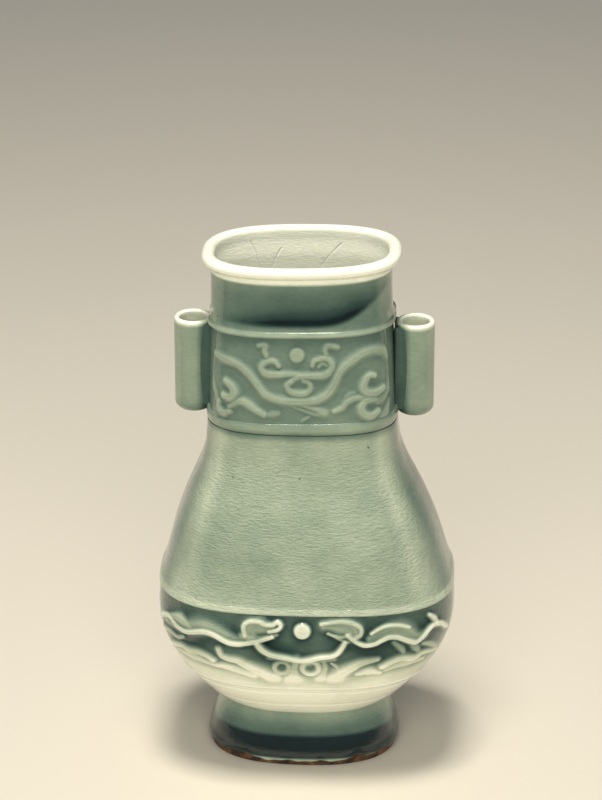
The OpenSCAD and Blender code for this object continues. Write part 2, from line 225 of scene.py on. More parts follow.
def piece(name, nodes, slot, grids, material=None, sharp=38):
    """Makes one object from grids of points, in its slot's material if no other is given.

    Each grid is (points, glaze, closed). Its last row joins its first one. Closed grids also go right round,
    and the others get a flat cap at both ends. Edges that bend by more than sharp degrees stay sharp."""
    verts, faces, tones = [], [], []
    start = 0
    for points, tone, closed in grids:
        rows, cols = points.shape[:2]
        index = np.arange(rows * cols).reshape(rows, cols) + start
        up = np.roll(index, -1, axis=0)
        last = cols if closed else cols - 1
        right, up_right = np.roll(index, -1, axis=1)[:, :last], np.roll(up, -1, axis=1)[:, :last]
        quads = np.stack([index[:, :last], right, up_right, up[:, :last]], -1)
        faces += quads.reshape(-1, 4).tolist()
        if not closed:
            faces += [index[:, 0].tolist(), index[::-1, -1].tolist()]
        verts.append(points.reshape(-1, 3))
        tones.append(np.broadcast_to(tone, (rows, cols)).reshape(-1))
        start += rows * cols
    mesh = bpy.data.meshes.new(name)
    mesh.from_pydata((np.concatenate(verts) * MM).tolist(), [], faces)
    # The glaze attribute holds how thick the glaze lies, with painted light and shade in it.
    point_values(mesh, "glaze", np.concatenate(tones))
    mesh.shade_smooth()
    mesh.set_sharp_from_angle(angle=math.radians(sharp))
    mesh.materials.append(material or SLOT_MATERIALS[slot])
    obj = bpy.data.objects.new(name, mesh)
    bpy.context.scene.collection.objects.link(obj)
    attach(obj, "root")
    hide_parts(*nodes)
    return obj


# Relief -------------------------------------------------------------------------------------------------

def curve(points, steps=6):
    """A smooth path through given points."""
    p = np.array(points, float)
    p = np.concatenate([p[:1], p, p[-1:]])
    t = np.linspace(0, 1, steps, endpoint=False)[:, None]
    parts = [0.5 * (2 * q + (r - o) * t + (2 * o - 5 * q + 4 * r - s) * t**2 + (3 * q - o - 3 * r + s) * t**3)
             for o, q, r, s in zip(p, p[1:], p[2:], p[3:])]
    return np.concatenate(parts + [p[-1:]])


def circle(middle, radius, start=75, steps=24):
    """A round path about a middle, whose two ends meet at the start angle."""
    turn = np.radians(np.linspace(start, start + 360, steps))
    return np.stack([middle[0] + radius * np.cos(turn), middle[1] + radius * np.sin(turn)], -1)


def on_front(line, path):
    """Lays a path of level places and heights on the front of the vase."""
    x, z = path[:, 0], path[:, 1]
    a = along(line, z)
    n = along(SQUARE, z)
    share = np.minimum(np.abs(x / a), 0.9999)
    return np.stack([x, -a * along(RATIO, z) * (1 - share**n) ** (1 / n), z], -1)


def nearest(points, path):
    """Each point's distance to a path, and how far along the path its nearest place is, from 0 to 1."""
    steps = np.linalg.norm(np.diff(path, axis=0), axis=1)
    reached = np.concatenate([[0], np.cumsum(steps)]) / steps.sum()
    best = np.full(points.shape[:-1], np.inf)
    where = np.zeros(points.shape[:-1])
    for i in range(len(steps)):
        ab = path[i + 1] - path[i]
        t = np.clip(((points - path[i]) @ ab) / (ab @ ab), 0, 1)
        d = np.linalg.norm(points - path[i] - t[..., None] * ab, axis=-1)
        closer = d < best
        best = np.where(closer, d, best)
        where = np.where(closer, reached[i] + t * (reached[i + 1] - reached[i]), where)
    return best, where


# The section of a stroke: a soft ridge with a faint groove along its crest, lower where the stroke thins.
STROKE_HALF = 0.56
STROKE_REACH = 1.3
EDGE_FALL, EDGE_POWER = 0.75, 2.4
CREST_DIP, CREST_DIP_SHARE = 0.12, 0.3
THIN_HEIGHT = 0.55


def stroke_height(points, line, path, widths, height):
    """The height of one stroke over its ground. Widths are given at the start, middle and end."""
    laid = on_front(line, path)
    widest = max(widths)
    low, high = laid.min(0) - widest * STROKE_REACH, laid.max(0) + widest * STROKE_REACH
    near = np.all((points > low) & (points < high), axis=-1)
    away, share = nearest(points[near], laid)
    half = np.interp(share, [0, 0.5, 1], widths) * STROKE_HALF
    away = away / half
    ribbon = np.exp(-EDGE_FALL * away**EDGE_POWER)
    ribbon = ribbon * (1 - CREST_DIP * np.exp(-(away / CREST_DIP_SHARE) ** 2))
    out = np.zeros(points.shape[:-1])
    out[near] = height * ribbon * np.interp(2 * half / widest, [0, 1], [THIN_HEIGHT, 1])
    return out


# A boss is nearly flat out to one share of its radius, and meets the ground at another.
BOSS_TOP, BOSS_FOOT = 0.72, 1.18
BOSS_DOME = 0.12


def boss(points, line, place, radius, height):
    """A low round boss with a soft edge."""
    middle = on_front(line, np.array([place]))[0]
    d = np.linalg.norm(points - middle, axis=-1) / radius
    return height * (1 - ramp(d, BOSS_TOP, BOSS_FOOT)) * (1 - BOSS_DOME * np.minimum(d, 1) ** 2)


def blur(values, sigma):
    """A Gaussian blur of a grid, with sigma in steps of the grid."""
    reach = math.ceil(3 * sigma)
    weights = np.exp(-np.arange(-reach, reach + 1) ** 2 / (2 * sigma**2))
    weights = weights / weights.sum()
    for axis in (0, 1):
        pad = [(reach, reach) if a == axis else (0, 0) for a in (0, 1)]
        values = np.apply_along_axis(np.convolve, axis, np.pad(values, pad, mode="edge"), weights, "valid")
    return values


# Glaze runs off the crests into the narrow moats beside them and the broad hollows round them. The reaches
# are millimetres, the tones say how much each counts, and MERGE is the power that melts crossing strokes
# together.
MOAT_REACH, HOLLOW_REACH = 1.3, 4.5
MOAT_TONE, HOLLOW_TONE, CREST_TONE = 0.4, 0.4, 0.28
HOLLOW_SINK = 0.12
MERGE = 4


def relief_panel(name, nodes, line, z, turn, strokes, ground, contrast, back):
    """A moulded panel: a slab whose outer face carries strokes. The back one is the front, turned round."""
    flat = surface(line, z, turn)
    base = turned(handmade(turned(flat))) if back else handmade(flat)
    step = float(z[1, 0] - z[0, 0])
    merged = sum(stroke_height(flat, line, *stroke) ** MERGE for stroke in strokes) ** (1 / MERGE)
    height = merged + ground(flat)
    moat = height - blur(height, MOAT_REACH / step)
    hollow = height - blur(height, HOLLOW_REACH / step)
    relief_tone = MOAT_TONE * moat + HOLLOW_TONE * hollow + CREST_TONE * height
    tone = along(GLAZE_AND_PAINTED_LIGHT, flat[..., 2]) + contrast * relief_tone
    outer = base + normals(flat) * (height + HOLLOW_SINK * np.minimum(hollow, 0))[..., None]
    inner = surface(line, z[[-1, 0]], turn, -PANEL_T)
    points = np.concatenate([outer, inner])
    grid = (turned(points) if back else points, np.concatenate([tone, np.zeros(inner.shape[:2])]), False)
    piece(name, nodes, "green_glaze", [grid], sharp=60)


# The strokes: a path of level places and heights, its widths at the start, middle and end, and its height.
# The pearls: a place, a radius and a height.
NECK_STROKES = [
    # The garland and the crooked ends it turns into.
    (curve([(-41, 223.5), (-36.5, 222.5), (-30, 221.2), (-25, 217.3), (-21.5, 213), (-16.8, 207),
            (-12, 204.6), (-4.4, 203.4), (6, 203.6), (10, 204.8), (14, 207.4), (17, 211.6), (19.3, 217),
            (22.4, 221.2), (26.3, 223.8), (30, 226.2), (34, 227.3), (37.6, 227), (40.6, 225.4),
            (42.4, 222)]), (3.2, 3.8, 4.2), 1.15),
    (curve([(42.4, 222), (43.4, 215), (43.3, 208), (41.2, 202.6), (37.6, 201)]), (3, 3.6, 3.2), 0.9),
    (curve([(-42, 224), (-43.2, 215), (-42.8, 208), (-41, 201), (-39.5, 194.5)]), (2.2, 2.4, 2.6), 0.8),
    (curve([(40, 191.5), (42, 194), (43.2, 199)]), (4, 3.4, 2), 0.7),
    # The two hooks over it and the curl between them.
    (curve([(-10, 221.6), (-11.8, 223.9), (-15, 224.1), (-17.6, 222.3), (-18.4, 220), (-16.2, 217.6),
            (-11.8, 217.2), (-5.3, 217.5), (0, 217.2)]), (2, 3.4, 2.4), 1.2),
    (curve([(6.5, 222), (7.4, 224.3), (10.4, 225.2), (13.4, 225.4), (15.6, 223.3), (15.9, 220.4),
            (13.6, 217.4), (10.2, 216.6), (3, 216.6), (-1.4, 215.8), (-4.2, 213.6)]), (2, 3.4, 2.6), 1.2),
    (curve([(9.6, 221.2), (11.4, 222.9), (13.4, 221.6)]), (1.6, 1.9, 1.6), 0.7),
    (curve([(-4.2, 213.6), (-5.8, 211.4), (-4.2, 208.6), (-0.4, 207.3), (3.6, 207.8), (5.4, 210.2),
            (4.6, 213), (1.8, 214.2)]), (2.8, 3.2, 2), 1.1),
    (curve([(-19.6, 231.8), (-16.6, 232), (-16.8, 229.4), (-16, 226.5)]), (2.2, 2.8, 2.2), 1),
    (curve([(18.6, 230.9), (14.4, 232), (12.8, 230), (13.2, 227.4)]), (2.2, 2.8, 2.2), 1),
    # The right-hand group.
    (curve([(36.4, 214.2), (33.8, 214.8), (31.7, 212.3), (31.1, 208.9), (33, 206.2), (37, 205.4),
            (40.5, 206.6)]), (2.2, 4.2, 3), 1.5),
    (curve([(36.4, 202.2), (32.2, 202), (30.1, 198.8), (31.4, 195.3), (35, 193.7), (38, 195.4)]),
     (2.6, 4.2, 3), 1.4),
    (curve([(33, 203.4), (27, 204), (23.4, 202.6), (21, 199.7), (17, 198)]), (2.8, 3, 2.2), 1),
    (curve([(27, 206.8), (24.6, 206.2), (22.6, 204.6)]), (1.6, 2, 1.6), 0.5),
    # The left-hand group.
    (curve([(-36.2, 211.4), (-33.4, 209.6), (-32, 206.6), (-33.8, 203.6), (-37.4, 203.6)]),
     (3, 4.6, 3.4), 1.6),
    (curve([(-40, 199.6), (-40.2, 196.4), (-37.6, 194.6), (-34.6, 196)]), (2.4, 3.4, 2.6), 1.2),
    (curve([(-34.4, 198.8), (-30.4, 201.8), (-26.8, 202.2), (-23.8, 200.4), (-20.8, 198.2), (-17.2, 196.2)]),
     (2.6, 3.6, 2.6), 1.2),
    # Small crossing strokes under the garland.
    (curve([(-1, 202.6), (4, 200.6), (9, 198.9), (12.4, 197.2)]), (1.8, 2.2, 3.4), 0.9),
    (curve([(-3, 200.6), (3, 198.2), (8, 196.6), (12.4, 196.6)]), (1.2, 1.6, 2.4), 0.6),
    (curve([(1.4, 193.2), (5, 195.4)]), (1.2, 1.4, 1), 0.5),
    (curve([(-14.6, 196.2), (-10.4, 196.9)]), (2.2, 2.8, 2), 0.7)]
NECK_PEARL = ((-1, 227), 3.9, 1.1)

BELLY_STROKES = [
    # The winding body on the left: a broad mass with a crest along it, and a leaf at its end.
    (curve([(-71.5, 80.5), (-69.6, 83.6), (-66.5, 84.5), (-62.5, 81.5), (-58.5, 80.5), (-54.8, 81.4),
            (-50.6, 82.9), (-47, 83.3), (-43, 82.3), (-39, 80.4), (-35.5, 79.3), (-31.6, 79.2),
            (-27.8, 80), (-24.4, 80.7), (-21, 81.8), (-15, 84.2)]), (2.6, 3.2, 2.6), 2.0),
    (curve([(-68, 82.6), (-60, 82.6), (-52, 84.6), (-47, 85.2), (-42, 84), (-36, 81.8), (-30, 80.8)]),
     (6, 8, 4), 1.2),
    (curve([(-66, 85.6), (-61.4, 86.4), (-56, 83.8)]), (3, 5, 2.6), 1.5),
    (curve([(-70.5, 75), (-67, 76), (-63, 74.8), (-60, 76.4)]), (2.4, 3.6, 2.4), 1.2),
    # The left head: a broad mass with a curl.
    (curve([(-25.6, 84.8), (-25, 88.4), (-22, 89.4), (-18, 89), (-15, 89.2)]), (8, 9.6, 5), 1.5),
    (curve([(-28.4, 84.4), (-29, 89), (-26.5, 91.8), (-22, 92.2), (-18.4, 90.8), (-15, 90.6), (-12, 92),
            (-10.7, 90.2), (-12.4, 88), (-16.4, 87)]), (2.6, 2.6, 2.2), 1.9),
    (curve([(-29.6, 83.6), (-23.6, 82.6), (-17.4, 84), (-12.8, 85.2)]), (4, 3.4, 1.8), 1.3),
    # The chin that runs from head to head.
    (curve([(-22, 79.6), (-19.6, 76.4), (-15.4, 73.8), (-9, 72.2), (-3.4, 71.2), (0, 70.9), (4.2, 71.7),
            (9.5, 73.2), (14.8, 74), (17.8, 75.6), (20, 78.6), (21.6, 81.8)]), (3.4, 3, 2.6), 2.0),
    (curve([(-16, 72), (-8, 71), (0, 69.6), (8, 71.4), (16, 72.4)]), (3, 5, 3), 1.0),
    # The right head.
    (curve([(11.4, 91), (15.5, 91.2), (20.6, 90.4), (24.6, 89), (25.6, 86.4)]), (5, 9.4, 8), 1.5),
    (curve([(9.6, 91.6), (15.5, 92.8), (20.6, 93.2), (25.6, 92), (29.2, 89.4), (29.2, 86), (27, 84.2)]),
     (2, 2.6, 2.4), 1.7),
    (curve([(13, 86.6), (17.2, 85.2), (20.6, 84.8), (24, 86.6)]), (1.4, 2.2, 2), 1.4),
    (curve([(13.4, 86.9), (19.7, 83.2), (23.4, 81.9)]), (1.2, 1.8, 1.6), 1.2),
    # The winding body on the right, with its wing and leaf.
    (curve([(22.6, 86), (25.5, 83.4), (29, 80.9), (32.2, 79.7), (36.4, 80.4), (39.4, 82), (43, 83.5),
            (47, 83.2), (50, 81.7), (53, 79.9), (56.4, 78.3), (59.2, 80), (62.6, 83.4), (65, 84.9),
            (68, 83.6), (70.6, 79.6)]), (2.4, 3, 2.6), 2.0),
    (curve([(34, 82.6), (39, 85.4), (45, 86.8), (51, 85.4), (56, 81), (60, 80.6)]), (4, 8.6, 5), 1.3),
    (curve([(34.6, 86), (38.4, 88.4), (42.6, 89.8), (48, 89.4), (53, 87.4)]), (1.6, 2.2, 1.8), 1.7),
    (curve([(62.6, 91), (64.6, 88.6), (66.6, 84)]), (1.8, 3.2, 2.6), 1.7),
    (curve([(46, 80), (49, 76.6), (50.6, 73)]), (2.4, 3, 2), 0.9),
    (curve([(54, 78), (56.4, 74.8), (58, 71.4)]), (2.4, 3.4, 2.4), 0.9),
    # The two rings and the lobes round them.
    (circle((-9.8, 65.6), 3.7), (2.4, 2.4, 2.4), 1.1),
    (circle((4.6, 66.2), 4.2), (2.8, 2.8, 2.8), 1.3),
    (curve([(-2.6, 71.4), (-3.4, 66.5), (-4, 59)]), (4, 3.8, 8), 1.5),
    (curve([(11, 71), (11.8, 66), (10, 59)]), (2.2, 3, 5), 1.1),
    (curve([(15, 69.4), (18, 66.6), (18.6, 63.6)]), (1.4, 1.8, 1.6), 0.9),
    # The clouds, which melt into the bright bowl below them.
    (curve([(-66, 68), (-61, 70.2), (-57, 69.4), (-52, 69.8), (-47.6, 68.8), (-44.4, 66.8)]),
     (3, 4.4, 3.4), 1.6),
    (curve([(-62, 66), (-54, 66), (-46, 64)]), (3, 6, 4), 1.2),
    (curve([(-41.6, 74.4), (-40, 71), (-36.4, 69.6), (-32, 69), (-28, 66.6), (-23.6, 64.2), (-19.4, 62),
            (-14.4, 59)]), (2.8, 5, 7), 1.7),
    (curve([(-44, 63.4), (-38, 63.8), (-31, 62.4), (-24, 60)]), (3, 5, 5), 1.3),
    (curve([(17, 59.6), (20, 62.8), (24.4, 66), (29, 68.8), (34, 70), (38, 70.6)]), (7.6, 5.4, 2.6), 1.7),
    (curve([(28, 62), (34, 63.2), (39, 61.6)]), (3, 5, 3), 1.3),
    (curve([(40.4, 65.4), (45, 68.2), (50, 69.6), (55.4, 68.2), (60, 69.8), (66, 68)]),
     (3.6, 4.6, 2.6), 1.6),
    (curve([(42, 63), (50, 65.6), (60, 65)]), (3, 5.6, 3), 1.1),
    (curve([(60, 76), (63.4, 74), (66, 70)]), (2.4, 3.4, 2.6), 1.1)]
BELLY_PEARL = ((0.2, 87.5), 4.5, 1.8)


# Materials ----------------------------------------------------------------------------------------------

class Nodes:
    """Short calls for the nodes of one material."""

    def __init__(self, name):
        self.material = bpy.data.materials.new(name)
        self.material.use_nodes = True
        self.tree = self.material.node_tree
        self.tree.nodes.clear()

    def add(self, kind, inputs=None, **props):
        node = self.tree.nodes.new(kind)
        for key, value in props.items():
            setattr(node, key, value)
        for key, value in (inputs or {}).items():
            if isinstance(value, bpy.types.NodeSocket):
                self.tree.links.new(value, node.inputs[key])
            else:
                node.inputs[key].default_value = value
        return node

    def math(self, operation, a, b=0.0, c=0.0):
        return self.add("ShaderNodeMath", {0: a, 1: b, 2: c}, operation=operation).outputs[0]

    def noise(self, vector, scale, detail=2.0, roughness=0.5):
        inputs = {"Vector": vector, "Scale": scale, "Detail": detail, "Roughness": roughness}
        return self.add("ShaderNodeTexNoise", inputs).outputs[0]

    def mix(self, factor, a, b):
        return self.add("ShaderNodeMix", {0: factor, 6: a, 7: b}, data_type="RGBA").outputs[2]

    def fade(self, value, low, high, at_low, at_high):
        """at_low below low, at_high above high, and a straight line between."""
        return self.add("ShaderNodeMapRange", {0: value, 1: low, 2: high, 3: at_low, 4: at_high}).outputs[0]

    def bump(self, lift, strength, distance):
        inputs = {"Height": lift, "Strength": strength, "Distance": distance}
        return self.add("ShaderNodeBump", inputs).outputs[0]

    def blend(self, factor, stops):
        """A colour ramp over stops of place and colour."""
        node = self.add("ShaderNodeValToRGB", {0: factor})
        elements = node.color_ramp.elements
        while len(elements) < len(stops):
            elements.new(0.5)
        for element, (place, colour) in zip(elements, stops):
            element.position = place
            element.color = (*colour, 1)
        return node.outputs[0]

    def finished(self, shader):
        """Puts the last shader on the surface, and gives the material."""
        self.add("ShaderNodeOutputMaterial", {0: shader})
        return self.material


# Glaze colours by depth, from a deep pool at 0 to a thin edge at 1; painted light and shade move the depth
# too.
GLAZE_COLOURS = [(0.0, (0.006, 0.017, 0.018)), (0.17, (0.04, 0.08, 0.065)), (0.36, (0.15, 0.22, 0.165)),
                 (0.52, (0.305, 0.37, 0.265)), (0.75, (0.57, 0.62, 0.46)), (1.0, (0.92, 0.92, 0.76))]
SPECK = (0.05, 0.045, 0.03)
SPECK_STRENGTH = 0.8
# The bare clay of the foot.
CLAY = (0.27, 0.135, 0.06)
CLAY_DARK = (0.035, 0.019, 0.012)

# Noise scales, per metre: soft clouds in the glaze, level streaks, level ripples, dimples and pinholes.
CLOUD_SCALE, STREAK_SCALE, RIPPLE_SCALE, DIMPLE_SCALE, PINHOLE_SCALE = 38, 240, 370, 55, 120
# Streaks and ripples are this much longer than they are high.
LEVEL_STRETCH = 2.8
# How far clouds and streaks move the depth of the glaze, and how little they do so where it is pooled.
CLOUD_SHIFT, STREAK_SHIFT = 0.30, 0.11
POOLED_SHIFT, POOLED_BELOW = 0.15, 0.45
# The share of cells with no pinhole, and the size of one in its cell.
PINHOLE_RARE, PINHOLE_SIZE = 0.88, 0.06
RIPPLE_LIFT = 0.75
# The ripples come in over the first pair of heights and go out over the second one, in metres, and these
# shares are left below and above.
RIPPLES_IN, RIPPLES_OUT = (0.085, 0.1), (0.168, 0.19)
RIPPLES_BELOW, RIPPLES_ABOVE = 0.3, 0.22
# The depth of the ripples under the glaze and on its skin, in metres.
BODY_BUMP, SKIN_BUMP = 0.0015, 0.0005
GLOSS, RIM_GLOSS = 0.06, 0.04


def pinhole_mask(n, place):
    """1 in the few small holes that bubbles leave in the glaze."""
    cells = n.add("ShaderNodeTexVoronoi", {"Vector": place, "Scale": PINHOLE_SCALE, "Randomness": 1.0})
    chance = n.add("ShaderNodeSeparateColor", {0: cells.outputs["Color"]}).outputs[0]
    rare = n.math("GREATER_THAN", chance, PINHOLE_RARE)
    return n.math("MULTIPLY", rare, n.math("LESS_THAN", cells.outputs["Distance"], PINHOLE_SIZE))


def glaze_colour(n, place, level, pinhole):
    """The colour follows how thick the glaze lies and the painted light and shade in its tone, with clouds
    and streaks where it isn't pooled.
    """
    tone = n.add("ShaderNodeAttribute", attribute_name="glaze").outputs["Fac"]
    depth = n.math("MULTIPLY_ADD", tone, 0.5, 0.5)
    clouds = n.math("SUBTRACT", n.noise(place, CLOUD_SCALE, detail=5, roughness=0.6), 0.5)
    streaks = n.math("SUBTRACT", n.noise(level, STREAK_SCALE, detail=4, roughness=0.65), 0.5)
    shift = n.math("MULTIPLY_ADD", clouds, CLOUD_SHIFT, n.math("MULTIPLY", streaks, STREAK_SHIFT))
    depth = n.math("MULTIPLY_ADD", shift, n.fade(depth, 0.0, POOLED_BELOW, POOLED_SHIFT, 1.0), depth)
    return n.mix(n.math("MULTIPLY", pinhole, SPECK_STRENGTH), n.blend(depth, GLAZE_COLOURS), (*SPECK, 1))


def ripple_strength(n, place):
    """The ripples are strongest on the shoulder, and nearly gone from the neck, the lugs and the mouth."""
    height = n.add("ShaderNodeSeparateXYZ", {0: place}).outputs[2]
    coming = n.fade(height, *RIPPLES_IN, RIPPLES_BELOW, 1.0)
    return n.math("MULTIPLY", n.fade(height, *RIPPLES_OUT, 1.0, RIPPLES_ABOVE), coming)


def glaze_shader(n, gloss):
    """Green glaze: a rippled body under a smooth glassy skin."""
    place = n.add("ShaderNodeTexCoord").outputs["Object"]
    level = n.add("ShaderNodeMapping", {"Vector": place, "Scale": (1, 1, LEVEL_STRETCH)}).outputs[0]
    pinhole = pinhole_mask(n, place)
    ripples = n.noise(level, RIPPLE_SCALE, detail=2.5, roughness=0.6)
    lift = n.math("MULTIPLY_ADD", ripples, RIPPLE_LIFT, n.noise(place, DIMPLE_SCALE, detail=1))
    lift = n.math("SUBTRACT", lift, pinhole)
    strength = ripple_strength(n, place)
    return n.add("ShaderNodeBsdfPrincipled", {
        "Base Color": glaze_colour(n, place, level, pinhole), "Normal": n.bump(lift, strength, BODY_BUMP),
        "Roughness": 0.5, "IOR": 1.5, "Specular IOR Level": 0.3,
        "Coat Weight": 1.0, "Coat Roughness": gloss, "Coat IOR": 1.55,
        "Coat Normal": n.bump(lift, strength, SKIN_BUMP), "Subsurface Weight": 0.15,
        "Subsurface Radius": (0.9, 1.0, 0.7), "Subsurface Scale": 0.0016}).outputs[0]


def glaze_material(name, gloss):
    n = Nodes(name)
    return n.finished(glaze_shader(n, gloss))


# The clay's grain and its scorched patches: noise scales per metre, and how hard the patches' edges are.
GRAIN_SCALE, PATCH_SCALE = 420, 130
PATCH_GAIN, PATCH_START = 3.6, -1.5
GRAIN_BUMP = 0.0004


def foot_material(name):
    """The same glaze over bare brown clay, which shows where the attribute "bare" is 1."""
    n = Nodes(name)
    place = n.add("ShaderNodeTexCoord").outputs["Object"]
    grain = n.noise(place, GRAIN_SCALE, detail=4, roughness=0.7)
    patches = n.noise(place, PATCH_SCALE, detail=3, roughness=0.6)
    patches = n.math("MULTIPLY_ADD", patches, PATCH_GAIN, PATCH_START)
    clay = n.mix(patches, (*CLAY_DARK, 1), (*CLAY, 1))
    bare = n.add("ShaderNodeBsdfPrincipled", {
        "Base Color": clay, "Roughness": 0.7, "Normal": n.bump(grain, 0.7, GRAIN_BUMP)}).outputs[0]
    where = n.add("ShaderNodeAttribute", attribute_name="bare").outputs["Fac"]
    both = n.add("ShaderNodeMixShader", {0: where, 1: glaze_shader(n, GLOSS), 2: bare})
    return n.finished(both.outputs[0])


SLOT_MATERIALS = {"green_glaze": glaze_material("green_glaze", GLOSS),
                  "thin_glaze": glaze_material("thin_glaze", RIM_GLOSS)}
FOOT_MATERIAL = foot_material("foot_glaze")


# The walls ----------------------------------------------------------------------------------------------

# The glaze tone of faces that only the light from the mouth or the floor reaches.
HOLLOW_FOOT_TONE, FLOOR_TONE, INSIDE_TONE = 0.2, 0.1, 0.1
# The glaze stops this far above the floor, and climbs this much more to the corners. It ends in a rolled
# edge, and the bare clay lies a little deeper.
CLAY_LINE, CLAY_CLIMB = 2.7, 1.9
ROLL_HEIGHT, BARE_DEPTH = 0.35, 0.5
# The share of the foot's dark band, a glaze pool with painted shade and a painted reflection, that is left at
# its narrow ends.
END_POOL_AND_SHADE = 0.45


def clay_line(x, y):
    """The height where the glaze stops: an uneven line, higher near the corners."""
    broad = 0.8 * np.sin(x / 6.3 + 1.2) * np.cos(y / 7)
    ragged = 0.5 * np.sin(x / 3.1 + y / 4.3) + 0.25 * np.sin(x / 1.3 - y / 1.9)
    return CLAY_LINE + CLAY_CLIMB * ramp(np.abs(x), 12, 34) + broad + ragged


def foot_ring():
    """The flared foot, glazed down to an uneven line over bare clay."""
    turn = around()
    flat = surface(FOOT, np.concatenate([rows_of(0, 7, 0.25), rows_of(7.8, WAIST_Z, 0.8)]), turn)
    height = flat[..., 2]
    line = clay_line(flat[..., 0], flat[..., 1])
    bare = 1 - ramp(height, line - 0.3, line + 0.3)
    roll = ramp(height, line - 0.2, line + 0.6) * (1 - ramp(height, line + 0.6, line + 2.6))
    outer = handmade(flat) + normals(flat) * (ROLL_HEIGHT * roll - BARE_DEPTH * bare)[..., None]
    inner_z = np.concatenate([rows_of(WAIST_Z, FLOOR_Z, 1.4), rows_of(FLOOR_Z - 1, 0, 1.3)])
    inner = surface(FOOT_INSIDE, inner_z, turn)
    tone = along(GLAZE_AND_PAINTED_LIGHT, height)
    # The dark band low on the foot, a pool with painted shade and a painted reflection, fades at the narrow
    # ends.
    pooled = END_POOL_AND_SHADE + (1 - END_POOL_AND_SHADE) * facing_front(flat, 0.86, 0.99)
    tone = np.where(tone < 0, tone * pooled, tone)
    tone = np.concatenate([tone, np.full(inner.shape[:2], HOLLOW_FOOT_TONE)])
    grid = (np.concatenate([outer, inner]), tone, True)
    obj = piece("foot", ["foot_ring"], "green_glaze", [grid], FOOT_MATERIAL)
    point_values(obj.data, "bare", np.concatenate([bare, 1 - ramp(inner[..., 2], 6, 9)]))


# The floor of the vase dips this much in its middle, and its underside rises this much.
FLOOR_DIP, UNDERSIDE_RISE = 0.8, 0.6


def base_disc():
    """The floor of the vase: a disc that thins a little towards the middle."""
    turn = around(160)
    share = np.linspace(1, 0.02, 26)[:, None, None]
    flat, up = np.array([1, 1, 0]), np.array([0, 0, 1.0])
    above = surface(FOOT_INSIDE, np.array([[FLOOR_Z]]), turn)
    below = surface(FOOT_INSIDE, np.array([[RECESS_Z]]), turn)
    above = above * flat * share + up * (FLOOR_Z - FLOOR_DIP * (1 - share**2))
    below = below * flat * share + up * (RECESS_Z + UNDERSIDE_RISE * (1 - share**2))
    grid = (np.concatenate([below[::-1], above]), FLOOR_TONE, True)
    piece("base", ["base_disc"], "green_glaze", [grid])


# The corners of a section lie at this share of its half width and spread this far, and its ends start here.
CORNER, CORNER_SPREAD, ENDS = 0.82, 0.1, (0.9, 0.99)
# How much painted shade darkens the narrow ends.
END_SHADE = 1.6


def wall(name, node, line, z, proud, mellow=0.0):
    """A wall of the vase over the heights z. mellow lightens its corners, and darkens its narrow ends with
    painted shade.
    """
    turn = around()
    outer = surface(line, z, turn, proud)
    inner = inside(line, rows_of(z[-1, 0], z[0, 0], 2), turn)
    share = share_of_width(outer)
    corner = np.clip(1 - np.abs(share - CORNER) / CORNER_SPREAD, 0, 1) - END_SHADE * ramp(share, *ENDS)
    tone = along(GLAZE_AND_PAINTED_LIGHT, outer[..., 2]) + mellow * corner
    tone = np.concatenate([tone, np.full(inner.shape[:2], INSIDE_TONE)])
    grid = (handmade(np.concatenate([outer, inner])), tone, True)
    piece(name, [node], "green_glaze", [grid])


# Two faint grooves were turned into the bowl at these heights, and wander a little.
BOWL_GROOVES = (47.6, 37.5)
GROOVE_DEPTH, GROOVE_WIDTH, GROOVE_WANDER = 0.35, 0.5, 0.7
# The bowl lies this far inside its line, and this much further under the belly band.
BOWL_INSET, BAND_RECESS = 0.05, 0.8


def bowl():
    """The bowl, with two faint turned grooves, sunk where the belly band covers it."""
    z = rows_of(WAIST_Z, RIDGE_Z, 0.6)
    wander = GROOVE_WANDER * np.sin(around() + 0.6)
    grooves = sum(np.exp(-((z - height - wander) / GROOVE_WIDTH) ** 2) for height in BOWL_GROOVES)
    under_band = ramp(z, BAND_Z + 0.2, BAND_Z + 1.2)
    proud = -BOWL_INSET - GROOVE_DEPTH * grooves - BAND_RECESS * under_band
    wall("bowl", "lower_body", BOWL, z, proud)


# The lower edge of the shoulder is rounded by this much, over this height.
EDGE_ROUND, EDGE_TALL = 1.1, 2.2


def shoulder():
    """The shoulder, rounded at its lower edge, where the rows lie closer."""
    z = np.concatenate([rows_of(RIDGE_Z, RIDGE_Z + 3, 0.25), rows_of(RIDGE_Z + 3.6, NECK_Z, 0.9)])
    edge = np.clip(1 - (z - RIDGE_Z) / EDGE_TALL, 0, 1) ** 2.2
    wall("shoulder", "upper_body", SHOULDER, z, -EDGE_ROUND * edge, mellow=0.22)


# Fine cracks inside the mouth, each from a place and height to another on the far wall.
CRACKS = [curve([(-26.7, 265), (-24.6, 260), (-23.6, 256), (-22, 250)]),
          curve([(-11.5, 261), (-13.6, 257.5), (-14.6, 255), (-16.6, 250.5)]),
          curve([(18.5, 263.5), (14, 259), (11.6, 256), (8, 251)])]
# The part of the far wall that has them: half its width, and its lowest height.
CRACKS_A, CRACKS_Z = 34, 248
CRACK_DEPTH, CRACK_WIDTH = 0.3, 0.28
CRACK_TONE = 2.8
# The pool of thick glaze, darkened more by a painted reflection: the height of its lower edge, and how far
# that edge climbs at one corner.
POOL_AND_REFLECTION_Z, POOL_AND_REFLECTION_CLIMB = 241, 17
POOL_AND_REFLECTION_TONE, COLLAR_END_TONE = 0.8, 0.2
# How much thinner the wall is at the lip than the wall line says.
LIP_THINNING = 0.9


def crack_depth(inner):
    """How deep the cracks cut into the inner face. Only the far wall has them."""
    depth = np.zeros(inner.shape[:2])
    near = (inner[..., 1] > 0) & (np.abs(inner[..., 0]) < CRACKS_A) & (inner[..., 2] > CRACKS_Z)
    for crack in CRACKS:
        path = np.column_stack([crack[:, 0], np.zeros(len(crack)), crack[:, 1]])
        away, share = nearest(inner[near] * np.array([1, 0, 1]), path)
        depth[near] += CRACK_DEPTH * np.exp(-(away / CRACK_WIDTH) ** 2) * (1 - 0.6 * share)
    return depth


